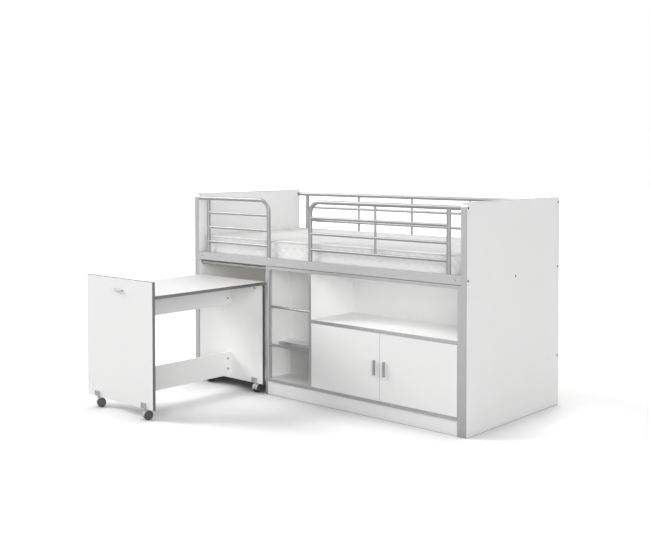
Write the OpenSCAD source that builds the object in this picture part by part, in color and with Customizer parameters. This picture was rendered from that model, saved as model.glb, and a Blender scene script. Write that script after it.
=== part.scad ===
// Mid-height cabin bed with a cupboard, a step bay and a roll-out desk under it.
// Sizes are laid out from the left end panel's outer face (x = 0), the bed's front
// plane (y = 0, +y to the back) and the floor (z = 0). The desk stands pulled out,
// in front of its bay, as it is in use. at_origin() then moves everything so that
// the origin lies on the floor, in the middle of the whole outline.

/* [Bed frame] */
// Length over the end panels
bed_l = 2072; // [1900:1:2300]
// Depth from the front plane to the back
bed_d = 958; // [900:1:1200]
// Height of the end panels
bed_h = 1200; // [1120:1:1400]
// Thickness of an end panel with its edging
end_t = 36; // [28:1:45]
// Radius of an end panel's top front corner
corner_front_r = 30; // [20:1:80]
// Radius of an end panel's top back corner
corner_back_r = 18; // [8:1:60]
// Thickness of the edging strips
edging_t = 1.5; // [0.8:0.1:3]
// Thickness of a side rail
rail_t = 25; // [18:1:32]
// Height of a side rail
rail_h = 48; // [42:1:90]
// Height of the side rails' underside over the floor
rail_z = 778; // [700:1:860]
// Middle height of the rear stretcher
stretcher_z = 286; // [150:1:500]
// Distance of the desk bay's cross tube behind the front plane
bay_tube_in = 19; // [19:1:60]
// Height of the cross tube's middle line
bay_tube_z = 757; // [730:1:762]

/* [Slats and mattress] */
// Height of the ledges and of the middle beam
ledge_h = 16; // [14:1:24]
// Depth of a ledge
ledge_w = 25; // [18:1:40]
// Depth of the middle beam
beam_w = 60; // [40:1:100]
// Number of slats
slat_count = 14; // [8:1:20]
// Width of a slat
slat_w = 70; // [50:1:90]
// Thickness of a slat
slat_t = 8; // [6:1:14]
// Height of the mattress border between its two pipings' outer edges
mat_h = 126; // [90:1:200]
// Rise of the mattress crown over its border
mat_crown = 14; // [4:1:30]
// Corner radius of the mattress, seen from above
mat_corner = 60; // [25:1:120]
// Free room round the mattress
mat_gap = 4; // [2:0.5:15]

/* [Guards] */
// Radius of the guards' tubes
tube_r = 12; // [10:0.5:12.5]
// Wall of the guards' tubes
tube_wall = 1.5; // [1:0.1:2.5]
// Radius of the cross bars
bar_r = 8; // [5:0.5:9]
// Radius of the thin rods between the bars
rod_r = 6.5; // [4:0.5:7]
// Distance between the middle lines of the bars
bar_pitch = 92; // [60:1:95]
// Number of cross bars
bar_count = 3; // [2:1:3]
// Distance of the top tube's middle line below the end panels' top
guard_drop = 28; // [20:1:60]
// Distance of the front guards' end posts from the end panels' inner faces
post_inset = 82; // [60:1:150]
// Distance of the back guard's posts from the end panels' inner faces
back_post_inset = 89; // [60:1:150]
// Distance between the back guard's rods
back_rod_pitch = 442; // [300:1:460]
// Radius of the hoops' bends, on the tube's middle line
bend_r = 70; // [40:1:80]
// Distance from the cupboard's left side to the left hoop's middle line
hoop_left_in = 14; // [12:1:40]
// Distance from the divider's left face to the right hoop's middle line
hoop_right_in = 2; // [-20:1:40]

/* [Cupboard] */
// Thickness of the cupboard's and the desk's boards
board_t = 18; // [16:1:22]
// Clear width of the desk's bay
bay_w = 606; // [560:1:640]
// Clear width of the step bay
step_w = 332; // [280:1:380]
// Depth of the cupboard up to its back board
cab_d = 378; // [320:1:450]
// Thickness of the back boards
back_t = 4; // [3:0.5:8]
// Depth of the step bay
step_d = 200; // [160:1:260]
// Height of the floor board's upper face
base_top = 96; // [70:1:140]
// Shadow gap between the front rail and the cupboard's top
top_gap = 3; // [1:0.5:6]
// Set-back of the plinth
plinth_in = 6; // [3:1:40]
// Height of the niche shelf's upper face
shelf_top = 490; // [420:1:560]
// Height of the lower step shelf's upper face
step_shelf_top = 310; // [260:1:340]
// Set-back of the lower step shelf
step_shelf_in = 95; // [50:1:110]
// Height of the middle of the lower rung
rung_low = 300; // [250:1:330]
// Height of the middle of the upper rung
rung_high = 532; // [480:1:600]
// Height of a rung
rung_h = 14; // [12:1:16]
// Radius of the step upright
upright_r = 8; // [8:0.5:12]
// Distance of the step upright from the cupboard's left side
upright_gap = 0.3; // [0.3:0.1:20]
// Distance of the upright's and the rungs' middle line behind the front plane
upright_in = 12; // [8:0.5:30]
// Joint between two edging strips
strip_gap = 0.2; // [0.2:0.1:1]

/* [Doors] */
// Gap beside a door at its hinge
door_side_gap = 3; // [2.6:0.1:5]
// Gap between the two doors
door_mid_gap = 4; // [3:0.5:8]
// Gap over and under a door
door_end_gap = 2; // [1.5:0.5:4]
// Radius of the pivot pins
pivot_r = 2.5; // [2:0.5:3]
// Distance of a pivot from the door's front face and from its edge
pivot_in = 5; // [4:0.5:5]
// Length of the handles
handle_l = 84; // [60:1:160]
// Distance of a door handle's middle line from the middle of the pair
door_handle_in = 34; // [24:1:80]
// Middle height of the door handles
door_handle_z = 278; // [180:1:400]

/* [Desk] */
// Free room at each side of the desk in its bay
desk_gap = 5; // [3:0.5:15]
// Distance that the desk stands pulled out
desk_out = 865; // [500:1:865]
// Length of the desk from its front to its back
desk_l = 869; // [700:1:900]
// Free room over the desk's front panel in its bay
desk_top_gap = 2; // [1:0.5:15]
// Height of the desktop's upper face
desktop_top = 678; // [600:1:710]
// Height of the apron and of the lower rail
desk_rail_h = 144; // [90:1:200]
// Height of the lower rail's underside
desk_rail_z = 75; // [60:1:150]
// Set-back of the desk's rear panel from the desktop's left edge
rear_in_left = 17; // [0:1:30]
// Set-back of the desk's rear panel from the desktop's right edge
rear_in_right = 8; // [0:1:30]
// Distance of the desk's handle below the front panel's top
desk_handle_drop = 66; // [30:1:120]
// Distance that a handle stands out from the face it is on
handle_reach = 20; // [14:1:24]
// Thickness of a handle at its foot
handle_foot_t = 8; // [5:0.5:12]
// Thickness of a handle at its rounded tip
handle_tip_t = 3; // [2:0.5:5]

/* [Castors] */
// Radius of a wheel
wheel_r = 25; // [18:0.5:25]
// Width of one of the twin wheels
wheel_w = 15; // [10:0.5:18]
// Room between a castor's hood and the desk's panels
castor_headroom = 2; // [2:0.5:20]
// Turn of the front left castor about its stem, as it stands
turn_left = -32; // [-90:1:90]
// Turn of the front right castor about its stem, as it stands
turn_right = -20; // [-90:1:90]
// Distance of the axle behind the stem
castor_trail = 18; // [12:1:18]
// Radius of a stem
stem_r = 4; // [3:0.5:4.5]
// Radius of an axle
axle_r = 3; // [2:0.5:3.5]
// Radial clearance of stems, axles and pivots in their bores
run_fit = 0.05; // [0.02:0.01:0.1]
// Distance of a bracket's middle from the desk's side edge
bracket_in = 86; // [60:1:140]
// Width of a bracket's plate
bracket_w = 38; // [30:1:44]
// Height of a bracket
bracket_h = 30; // [24:1:40]
// Thickness of a bracket's plate
bracket_t = 2.5; // [2:0.5:4]

/* [Fasteners] */
// Radius of the bolts' shanks
bolt_r = 3; // [2.5:0.5:3.5]
// Radius of the bolts' heads
head_r = 6.5; // [6:0.5:9]
// Thickness of the bolts' heads
head_t = 3; // [2:0.5:5]
// Distance of the barrel nuts from the end panels
nut_in = 32; // [24:1:45]
// Radius of the barrel nuts
nut_r = 5; // [4.5:0.5:6]
// Radius of the desk's cam locks
cam_r = 7.5; // [6:0.5:9]
// Distance of the cam locks from the panel that they pull up to
cam_in = 24; // [20:1:34]
// Distance between the two cam locks at a rail's end
cam_pitch = 64; // [32:32:64]

/* [Hidden] */
$fn = 48;

white = [0.93, 0.93, 0.92];
silver = [0.70, 0.70, 0.71];
steel = [0.55, 0.55, 0.56];
pine = [0.84, 0.72, 0.52];
ticking = [0.95, 0.95, 0.95];
light_grey = [0.80, 0.80, 0.80];
dark_grey = [0.35, 0.33, 0.34];

eps = 0.01;
fit = 0.2;

// Bed frame
in_x0 = end_t;
in_x1 = bed_l - end_t;
rail_top = rail_z + rail_h;
rail_y = rail_t / 2;
back_y = bed_d - rail_t / 2;
rail_mid_z = rail_z + rail_h / 2;
ledge_top = rail_z + ledge_h;
beam_mid_z = rail_z + ledge_h / 2;

// Guards
guard_z = bed_h - guard_drop;
post_x0 = in_x0 + post_inset;
post_x1 = in_x1 - post_inset;
back_post_x = [in_x0 + back_post_inset, in_x1 - back_post_inset];
plug_l = 30;

// Cupboard
side_x = in_x0 + bay_w;
step_x0 = side_x + board_t;
divider_x = step_x0 + step_w;
room_x0 = divider_x + board_t;
room_x1 = in_x1 - board_t;
top_z = rail_z - top_gap - board_t;
floor_z = base_top - board_t;
shelf_z = shelf_top - board_t;
hoop_left_x = side_x + hoop_left_in;
hoop_right_x = divider_x + hoop_right_in;
upright_x = step_x0 + upright_gap + upright_r;

// Doors
door_mid_x = (room_x0 + room_x1) / 2;
door_z0 = base_top + door_end_gap;
door_z1 = shelf_z - door_end_gap;
pivot_l = 10;
pivot_left_x = room_x0 + door_side_gap + pivot_in;
pivot_right_x = room_x1 - door_side_gap - pivot_in;

// Castors
web_t = 7;
wheel_gap = 1;
hood_gap = 1.2;
hood_t = 1.8;
socket_r = 5.5;
stem_out = 8;
hood_r = wheel_r + hood_gap + hood_t;
castor_w = web_t + 2 * (wheel_gap + wheel_w);
hood_w = castor_w + 1;

// Desk
desk_lift = wheel_r + hood_r + castor_headroom;
desk_x0 = in_x0 + desk_gap;
desk_x1 = side_x - desk_gap;
desk_mid_x = (desk_x0 + desk_x1) / 2;
desk_y0 = -desk_out;
desk_y1 = desk_y0 + desk_l;
desk_front_in = desk_y0 + board_t;
desk_rear_in = desk_y1 - board_t;
desk_panel_top = top_z - desk_top_gap;
desktop_z = desktop_top - board_t;
desk_handle_z = desk_panel_top - desk_handle_drop;
rear_x = [desk_x0 + rear_in_left, desk_x1 - rear_in_right];

// Castors' places on the desk
stem_front_y = desk_y0 - stem_out;
stem_rear_y = desk_rear_in - stem_out;
function castor_front_y(turn) =
  stem_front_y + (castor_trail - hood_r) * cos(turn) - hood_w / 2 * abs(sin(turn));
desk_front_y = min(desk_y0 - handle_reach, castor_front_y(turn_left), castor_front_y(turn_right));
stem_x = [desk_x0 + bracket_in + bracket_w / 2 + 4, desk_x1 - bracket_in + bracket_w / 2 + 4];
bracket_x = [desk_x0 + bracket_in, desk_x1 - bracket_in];
bracket_z = desk_lift + 2;
stem_top = bracket_z + bracket_h + 2;

screw_r = 2;
screw_l = 12;
screw_z = bracket_z + bracket_h / 2;

// Fasteners: places on an end panel, as [y, z]
bolt_places = [
  [rail_y, guard_z], [rail_y, rail_mid_z], [bed_d / 2, beam_mid_z],
  [back_y, guard_z], [back_y, rail_mid_z], [back_y, stretcher_z]
];
head_sink = 0.4;
cam_t = 12;
cam_desk_in = 77;
cam_desk_x = [desk_x0 + cam_desk_in, desk_x1 - cam_desk_in];
bolt_reach = nut_in + nut_r + 3;
end_post_x = [post_x0, post_x1];
front_post_x = [post_x0, hoop_left_x, hoop_right_x, post_x1];

module at_origin() {
  translate([-bed_l / 2, -(bed_d + desk_front_y) / 2, 0])
    children();
}

// A box between two values on each axis
module block(x, y, z) {
  translate([x[0], y[0], z[0]])
    cube([x[1] - x[0], y[1] - y[0], z[1] - z[0]]);
}

// The part's mirror image from the left end to the right end
module to_right_end() {
  translate([bed_l, 0, 0])
    mirror([1, 0, 0])
      children();
}

// A rod along x from one value to another
module rod_x(x, y, z, r) {
  translate([x[0], y, z])
    rotate([0, 90, 0])
      cylinder(h = x[1] - x[0], r = r);
}

module rod_y(x, y, z, r) {
  translate([x, y[0], z])
    rotate([-90, 0, 0])
      cylinder(h = y[1] - y[0], r = r);
}

module rod_z(x, y, z, r) {
  translate([x, y, z[0]])
    cylinder(h = z[1] - z[0], r = r);
}

// ---- End panels

// Outline of an end panel in y and z, drawn in by a margin on all sides but the floor,
// where it reaches down by foot
module end_outline(margin, foot) {
  front_r = corner_front_r - margin;
  back_r = corner_back_r - margin;
  difference() {
    translate([margin, -foot])
      square([bed_d - 2 * margin, bed_h - margin + foot]);
    translate([margin - eps, bed_h - corner_front_r])
      difference() {
        square([front_r + eps, corner_front_r]);
        translate([front_r + eps, 0])
          circle(r = front_r);
      }
    translate([bed_d - corner_back_r, bed_h - corner_back_r])
      difference() {
        square([back_r + eps, corner_back_r]);
        circle(r = back_r);
      }
  }
}

module end_slab(margin, x, foot) {
  translate([x[0], 0, 0])
    rotate([90, 0, 90])
      linear_extrude(height = x[1] - x[0])
        end_outline(margin, foot);
}

module bolt_holes() {
  for (p = bolt_places) {
    rod_x([-eps, end_t + eps], p[0], p[1], bolt_r + fit);
    rod_x([-eps, head_sink + head_t], p[0], p[1], head_r + fit);
  }
}

module end_panel() {
  difference() {
    end_slab(edging_t, [0, end_t], 0);
    bolt_holes();
  }
}

module end_edging() {
  difference() {
    end_slab(0, [0, end_t], 0);
    end_slab(edging_t, [-eps, end_t + eps], 1);
    bolt_holes();
  }
}

module end_panel_left() {
  color(white) at_origin() end_panel();
}

module end_panel_right() {
  color(white) at_origin() to_right_end() end_panel();
}

module end_edging_left() {
  color(silver) at_origin() end_edging();
}

module end_edging_right() {
  color(silver) at_origin() to_right_end() end_edging();
}

// ---- Rails, ledges, beam and slats

// Bores for the bolt and the barrel nut at both ends of a rail
module rail_end_bores(y, z) {
  for (x = [in_x0, in_x1 - bolt_reach])
    rod_x([x - eps, x + bolt_reach + eps], y, z, bolt_r + fit);
}

module nut_bore(x, y, z) {
  rod_y(x, y, z, nut_r + fit / 2);
}

module front_rail() {
  color(silver) at_origin()
    difference() {
      block([in_x0, in_x1], [0, rail_t], [rail_z, rail_top]);
      rail_end_bores(rail_y, rail_mid_z);
      for (x = [in_x0 + nut_in, in_x1 - nut_in])
        nut_bore(x, [-eps, rail_t - 3], rail_mid_z);
      for (x = front_post_x)
        guard_screw_bore(x, rail_y);
    }
}

module back_rail() {
  color(silver) at_origin()
    difference() {
      block([in_x0, in_x1], [bed_d - rail_t, bed_d], [rail_z, rail_top]);
      rail_end_bores(back_y, rail_mid_z);
      for (x = [in_x0 + nut_in, in_x1 - nut_in])
        nut_bore(x, [bed_d - rail_t + 3, bed_d + eps], rail_mid_z);
      for (x = back_post_x)
        guard_screw_bore(x, back_y);
    }
}

module rear_stretcher() {
  color(silver) at_origin()
    difference() {
      block([in_x0, in_x1], [bed_d - rail_t, bed_d],
            [stretcher_z - rail_h / 2, stretcher_z + rail_h / 2]);
      rail_end_bores(back_y, stretcher_z);
      for (x = [in_x0 + nut_in, in_x1 - nut_in])
        nut_bore(x, [bed_d - rail_t + 3, bed_d + eps], stretcher_z);
    }
}

// The tube across the desk's bay, from the left end panel to the cupboard's left side
module bay_tube() {
  bay_tube_y = bay_tube_in + tube_r;
  color(silver) at_origin()
    difference() {
      rod_x([in_x0, side_x], bay_tube_y, bay_tube_z, tube_r);
      rod_x([in_x0 - eps, side_x + eps], bay_tube_y, bay_tube_z, tube_r - tube_wall);
    }
}

module slat_ledges() {
  color(pine) at_origin() {
    block([in_x0, in_x1], [rail_t, rail_t + ledge_w], [rail_z, ledge_top]);
    block([in_x0, in_x1], [bed_d - rail_t - ledge_w, bed_d - rail_t], [rail_z, ledge_top]);
  }
}

module middle_beam() {
  color(pine) at_origin()
    difference() {
      block([in_x0, in_x1], [(bed_d - beam_w) / 2, (bed_d + beam_w) / 2], [rail_z, ledge_top]);
      rail_end_bores(bed_d / 2, beam_mid_z);
      for (x = [in_x0 + nut_in, in_x1 - nut_in])
        rod_z(x, bed_d / 2, [rail_z + 2, ledge_top + eps], nut_r + fit / 2);
    }
}

module slats() {
  pitch = (in_x1 - in_x0) / slat_count;
  color(pine) at_origin()
    for (i = [0 : slat_count - 1])
      translate([in_x0 + (i + 0.5) * pitch - slat_w / 2, 0, 0])
        block([0, slat_w], [rail_t + 1, bed_d - rail_t - 1], [ledge_top, ledge_top + slat_t]);
}

// ---- Mattress

mat_a = (in_x1 - in_x0) / 2 - mat_gap;
mat_b = (bed_d - 2 * rail_t) / 2 - mat_gap;
mat_z = ledge_top + slat_t + 0.3;
mat_long_n = 16;
mat_short_n = 8;
mat_arc_n = 4;
mat_n = 2 * (mat_long_n + mat_short_n) + 4 * mat_arc_n;

// Inset and height of each ring on the border, from the underside to the top seam
mat_border = [
  [12, 0], [3, 3], [0, 9], [3, 15], [8, 26], [10, mat_h / 2],
  [8, mat_h - 26], [3, mat_h - 15], [0, mat_h - 9], [3, mat_h - 3], [12, mat_h]
];
// Insets of the rings on the crown, as shares of the half width
mat_crown_steps = [0.08, 0.18, 0.32, 0.48, 0.64, 0.80, 0.93];

function crown_ring(s) = [s * mat_b, mat_h + mat_crown * sin(90 * s)];

function arc_pts(cx, cy, r, a0, z) =
  [for (j = [0 : mat_arc_n - 1]) let (a = a0 + 90 * j / mat_arc_n)
    [cx + r * cos(a), cy + r * sin(a), z]];

function line_pts(p, q, n, z) =
  [for (j = [0 : n - 1]) [p[0] + (q[0] - p[0]) * j / n, p[1] + (q[1] - p[1]) * j / n, z]];

// A ring round the mattress, drawn in by d from its widest outline, at height z
function mat_ring(d, z) =
  let (a = mat_a - d, b = mat_b - d, r = mat_corner * (1 - d / mat_b), u = a - r, v = b - r)
  concat(
    line_pts([a, -v], [a, v], mat_short_n, z), arc_pts(u, v, r, 0, z),
    line_pts([u, b], [-u, b], mat_long_n, z), arc_pts(-u, v, r, 90, z),
    line_pts([-a, v], [-a, -v], mat_short_n, z), arc_pts(-u, -v, r, 180, z),
    line_pts([-u, -b], [u, -b], mat_long_n, z), arc_pts(u, -v, r, 270, z));

mat_rings = concat(mat_border, [for (s = mat_crown_steps) crown_ring(s)]);

module mattress_form() {
  m = len(mat_rings);
  pts = concat(
    [for (g = mat_rings) each mat_ring(g[0], g[1])],
    [[0, 0, 0], [0, 0, mat_h + mat_crown]]);
  low = m * mat_n;
  walls = [for (k = [0 : m - 2], i = [0 : mat_n - 1])
    let (j = (i + 1) % mat_n, p = k * mat_n, q = p + mat_n)
    each [[p + i, q + i, p + j], [p + j, q + i, q + j]]];
  under = [for (i = [0 : mat_n - 1]) [low, i, (i + 1) % mat_n]];
  over = [for (i = [0 : mat_n - 1])
    [low + 1, (m - 1) * mat_n + (i + 1) % mat_n, (m - 1) * mat_n + i]];
  polyhedron(points = pts, faces = concat(walls, under, over));
}

module mattress() {
  color(ticking) at_origin()
    translate([bed_l / 2, bed_d / 2, mat_z])
      mattress_form();
}

// ---- Guards

function bar_z(i) = guard_z - (i + 1) * bar_pitch;

// A hollow tube along x, plugged at one or both ends, with a bolt bore in each plug
module plugged_tube(x, y, plug_left, plug_right) {
  difference() {
    rod_x(x, y, guard_z, tube_r);
    rod_x([x[0] + (plug_left ? plug_l : -eps), x[1] - (plug_right ? plug_l : -eps)],
          y, guard_z, tube_r - tube_wall);
    if (plug_left)
      rod_x([x[0] - eps, x[0] + plug_l + eps], y, guard_z, bolt_r + fit);
    if (plug_right)
      rod_x([x[1] - plug_l - eps, x[1] + eps], y, guard_z, bolt_r + fit);
  }
}

// A hollow post with a plug at its foot, bored for the screw from below
module plugged_post(x, y, top) {
  difference() {
    rod_z(x, y, [rail_top, top], tube_r);
    rod_z(x, y, [rail_top + plug_l, top + eps], tube_r - tube_wall);
    rod_z(x, y, [rail_top - eps, rail_top + plug_l + eps], bolt_r + fit);
  }
}

module guard_screw_bore(x, y) {
  rod_z(x, y, [rail_z - eps, rail_top + eps], bolt_r + fit);
  rod_z(x, y, [rail_z - eps, rail_z + head_t + 1], head_r + fit);
}

// The quarter bend of a hoop: from the tube along x down into the post
module hoop_bend() {
  rotate([90, 0, 0])
    rotate_extrude(angle = 90)
      translate([bend_r, 0])
        difference() {
          circle(r = tube_r);
          circle(r = tube_r - tube_wall);
        }
}

// A hoop whose post stands at the right end of its tube, from x0 to the post at x1
module hoop(x0, x1) {
  plugged_tube([x0, x1 - bend_r], rail_y, true, false);
  translate([x1 - bend_r, rail_y, guard_z - bend_r])
    hoop_bend();
  plugged_post(x1, rail_y, guard_z - bend_r);
}

module bars(x, y, r) {
  for (i = [0 : bar_count - 1])
    rod_x(x, y, bar_z(i), r);
}

// Hollow bars between two posts, cut to their round sides
module bars_between(x0, x1, y) {
  difference() {
    bars([x0, x1], y, bar_r);
    bars([x0, x1], y, bar_r - tube_wall);
    for (x = [x0, x1])
      rod_z(x, y, [rail_top, guard_z], tube_r);
  }
}

// An end post, cut to the round underside of the top tube
module end_post(x, y) {
  difference() {
    plugged_post(x, y, guard_z);
    rod_x([x - 2 * tube_r, x + 2 * tube_r], y, guard_z, tube_r);
  }
}

// A thin rod from the top tube to the lowest bar, cut where the bars pass
module cut_rod(x, y) {
  difference() {
    rod_z(x, y, [bar_z(bar_count - 1), guard_z], rod_r);
    rod_x([x - 2 * tube_r, x + 2 * tube_r], y, guard_z, tube_r);
    bars([x - 2 * tube_r, x + 2 * tube_r], y, bar_r);
  }
}

module guard_left_hoop() {
  color(silver) at_origin() hoop(in_x0, hoop_left_x);
}

module guard_right_hoop() {
  color(silver) at_origin() to_right_end() hoop(in_x0, bed_l - hoop_right_x);
}

module guard_front_posts() {
  color(silver) at_origin()
    for (x = end_post_x)
      end_post(x, rail_y);
}

module guard_front_bars() {
  color(silver) at_origin() {
    bars_between(post_x0, hoop_left_x, rail_y);
    bars_between(hoop_right_x, post_x1, rail_y);
  }
}

module guard_back_tube() {
  color(silver) at_origin() plugged_tube([in_x0, in_x1], back_y, true, true);
}

module guard_back_posts() {
  color(silver) at_origin()
    for (x = back_post_x)
      end_post(x, back_y);
}

module guard_back_bars() {
  color(silver) at_origin() bars_between(back_post_x[0], back_post_x[1], back_y);
}

// One rod in the middle of the right front guard, three at equal steps in the back one
module guard_rods() {
  color(silver) at_origin() {
    cut_rod((hoop_right_x + post_x1) / 2, rail_y);
    for (k = [-1 : 1])
      cut_rod(bed_l / 2 + k * back_rod_pitch, back_y);
  }
}

// ---- Cupboard

module cupboard_top() {
  color(white) at_origin()
    block([side_x, in_x1], [edging_t, cab_d], [top_z, top_z + board_t]);
}

module cupboard_side_left() {
  color(white) at_origin()
    block([side_x, step_x0], [edging_t, cab_d], [0, top_z]);
}

module cupboard_divider() {
  color(white) at_origin()
    block([divider_x, room_x0], [edging_t, cab_d], [base_top, top_z]);
}

module cupboard_side_right() {
  color(white) at_origin()
    block([room_x1, in_x1], [edging_t, cab_d], [0, top_z]);
}

module cupboard_floor() {
  color(white) at_origin()
    difference() {
      block([step_x0, room_x1], [edging_t, cab_d], [floor_z, base_top]);
      pivot_bores(base_top);
    }
}

module cupboard_plinth() {
  color(white) at_origin()
    block([step_x0, room_x1], [plinth_in, plinth_in + board_t], [0, floor_z]);
}

module cupboard_back() {
  color(white) at_origin()
    block([side_x, in_x1], [cab_d, cab_d + back_t], [floor_z, top_z + board_t]);
}

module niche_shelf() {
  color(white) at_origin()
    difference() {
      block([room_x0, room_x1], [edging_t, cab_d], [shelf_z, shelf_top]);
      pivot_bores(shelf_z);
    }
}

module step_bay_back() {
  color(white) at_origin()
    block([step_x0, divider_x], [step_d, step_d + 2 * back_t], [base_top, top_z]);
}

module step_shelf() {
  color(white) at_origin()
    block([step_x0, divider_x], [step_shelf_in + edging_t, step_d],
          [step_shelf_top - board_t, step_shelf_top]);
}

module step_upright() {
  color(silver) at_origin()
    difference() {
      rod_z(upright_x, upright_in, [base_top, top_z], upright_r);
      rod_z(upright_x, upright_in, [base_top - eps, top_z + eps], upright_r - tube_wall);
    }
}

// A flat-oval rung from the upright to the divider
module rung(z) {
  end_r = rung_h / 2;
  rim = [upright_in - upright_r + end_r, upright_in + upright_r - end_r];
  difference() {
    union() {
      block([upright_x, divider_x], rim, [z - end_r, z + end_r]);
      for (y = rim)
        rod_x([upright_x, divider_x], y, z, end_r);
    }
    rod_z(upright_x, upright_in, [z - rung_h, z + rung_h], upright_r + run_fit);
  }
}

module step_rungs() {
  color(silver) at_origin() {
    rung(rung_low);
    rung(rung_high);
  }
}

module cupboard_edging() {
  front = [0, edging_t];
  g = strip_gap;
  color(silver) at_origin() {
    block([side_x, in_x1], front, [top_z, top_z + board_t]);
    block([side_x, step_x0], front, [0, top_z - g]);
    block([divider_x, room_x0], front, [base_top + g, top_z - g]);
    block([room_x1, in_x1], front, [0, top_z - g]);
    block([step_x0 + g, room_x1 - g], front, [floor_z, base_top]);
    block([room_x0 + g, room_x1 - g], front, [shelf_z, shelf_top]);
    block([step_x0, divider_x], [step_shelf_in, step_shelf_in + edging_t],
          [step_shelf_top - board_t, step_shelf_top]);
  }
}

// ---- Fasteners

// A bolt whose head lies just under an end panel's outer face
module end_bolt(y, z, reach) {
  difference() {
    union() {
      rod_x([head_sink, head_sink + head_t], y, z, head_r);
      rod_x([head_sink, end_t + reach], y, z, bolt_r);
    }
    translate([head_sink - eps, y, z])
      rotate([0, 90, 0])
        cylinder(h = head_t * 0.7, r = bolt_r * 0.9, $fn = 6);
  }
}

module end_bolts_one_side() {
  for (p = bolt_places)
    end_bolt(p[0], p[1], p[1] == guard_z ? plug_l - 2 : bolt_reach);
}

module end_bolts() {
  color(steel) at_origin() {
    end_bolts_one_side();
    to_right_end() end_bolts_one_side();
  }
}

// A barrel nut along y with the bolt's bore across it
module barrel_nut(x, y, z) {
  difference() {
    rod_y(x, y, z, nut_r);
    rod_x([x - nut_r - eps, x + nut_r + eps], (y[0] + y[1]) / 2, z, bolt_r + run_fit);
  }
}

module barrel_nuts_one_side() {
  x = in_x0 + nut_in;
  half = rail_t / 2 - 3.5;
  barrel_nut(x, [rail_y - half, rail_y + half], rail_mid_z);
  barrel_nut(x, [back_y - half, back_y + half], rail_mid_z);
  barrel_nut(x, [back_y - half, back_y + half], stretcher_z);
  difference() {
    rod_z(x, bed_d / 2, [rail_z + 2.5, ledge_top - 0.5], nut_r);
    rod_x([x - nut_r - eps, x + nut_r + eps], bed_d / 2, beam_mid_z, bolt_r + run_fit);
  }
}

module barrel_nuts() {
  color(steel) at_origin() {
    barrel_nuts_one_side();
    to_right_end() barrel_nuts_one_side();
  }
}

module guard_screw(x, y) {
  rod_z(x, y, [rail_z + 1, rail_z + 1 + head_t], head_r);
  rod_z(x, y, [rail_z + 1, rail_top + plug_l - 2], bolt_r);
}

module guard_screws() {
  color(steel) at_origin() {
    for (x = front_post_x)
      union() guard_screw(x, rail_y);
    for (x = back_post_x)
      union() guard_screw(x, back_y);
  }
}

// ---- Doors

// Bores for both doors' pivots, into the board face at height z
module pivot_bores(z) {
  for (x = [pivot_left_x, pivot_right_x])
    rod_z(x, pivot_in, [z - pivot_l, z + pivot_l], pivot_r + run_fit);
}

module door(x) {
  difference() {
    block(x, [0, board_t], [door_z0, door_z1]);
    for (px = [pivot_left_x, pivot_right_x], z = [door_z0, door_z1])
      rod_z(px, pivot_in, [z - pivot_l, z + pivot_l], pivot_r + fit / 10);
  }
}

module door_left() {
  color(white) at_origin()
    door([room_x0 + door_side_gap, door_mid_x - door_mid_gap / 2]);
}

module door_right() {
  color(white) at_origin()
    door([door_mid_x + door_mid_gap / 2, room_x1 - door_side_gap]);
}

module pivots(x) {
  reach = pivot_l - 1;
  rod_z(x, pivot_in, [base_top - reach, door_z0 + reach], pivot_r);
  rod_z(x, pivot_in, [door_z1 - reach, shelf_z + reach], pivot_r);
}

module door_pivots_left() {
  color(steel) at_origin() pivots(pivot_left_x);
}

module door_pivots_right() {
  color(steel) at_origin() pivots(pivot_right_x);
}

// A fin-shaped pull along z, standing on a face at y = 0, thinner towards its rounded tip
module pull() {
  tip_r = handle_tip_t / 2;
  foot = handle_foot_t / 2;
  tip_y = tip_r - handle_reach;
  translate([0, 0, -handle_l / 2])
    linear_extrude(height = handle_l)
      union() {
        polygon([[-foot, 0], [-tip_r, tip_y], [tip_r, tip_y], [foot, 0]]);
        translate([0, tip_y])
          circle(r = tip_r);
      }
}

module door_handle_left() {
  color(silver) at_origin()
    translate([door_mid_x - door_handle_in, 0, door_handle_z])
      pull();
}

module door_handle_right() {
  color(silver) at_origin()
    translate([door_mid_x + door_handle_in, 0, door_handle_z])
      pull();
}

// ---- Desk

module panel_cam_pockets(face_y, inward) {
  for (x = cam_desk_x)
    rod_y(x, inward > 0 ? [face_y - eps, face_y + cam_t] : [face_y - cam_t, face_y + eps],
          desktop_z - cam_in, cam_r + fit);
}

module castor_screw_bores(face_y) {
  for (x = bracket_x)
    rod_y(x, [face_y - eps, face_y + screw_l + 1], screw_z, screw_r + fit);
}

module desk_front_panel() {
  color(white) at_origin()
    difference() {
      block([desk_x0 + edging_t, desk_x1 - edging_t], [desk_y0, desk_front_in],
            [desk_lift, desk_panel_top - edging_t]);
      panel_cam_pockets(desk_front_in, -1);
      castor_screw_bores(desk_y0);
    }
}

module desk_rear_panel() {
  color(white) at_origin()
    difference() {
      block([rear_x[0] + edging_t, rear_x[1] - edging_t], [desk_rear_in, desk_y1],
            [desk_lift, desktop_z]);
      panel_cam_pockets(desk_rear_in, 1);
      castor_screw_bores(desk_rear_in);
    }
}

module desktop() {
  color(white) at_origin()
    block([desk_x0 + edging_t, desk_x1 - edging_t], [desk_front_in, desk_y1],
          [desktop_z, desktop_top]);
}

// Middle of each cam lock on a desk rail, as [y, height over the rail's underside]
rail_cams = [
  for (y = [desk_front_in + cam_in, desk_rear_in - cam_in], dz = [-cam_pitch / 2, cam_pitch / 2])
    [y, desk_rail_h / 2 + dz]
];

module desk_rail(z) {
  difference() {
    block([desk_mid_x - board_t / 2, desk_mid_x + board_t / 2],
          [desk_front_in, desk_rear_in], [z, z + desk_rail_h]);
    for (c = rail_cams)
      rod_x([desk_mid_x + board_t / 2 - cam_t, desk_mid_x + board_t / 2 + eps],
            c[0], z + c[1], cam_r + fit);
  }
}

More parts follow.
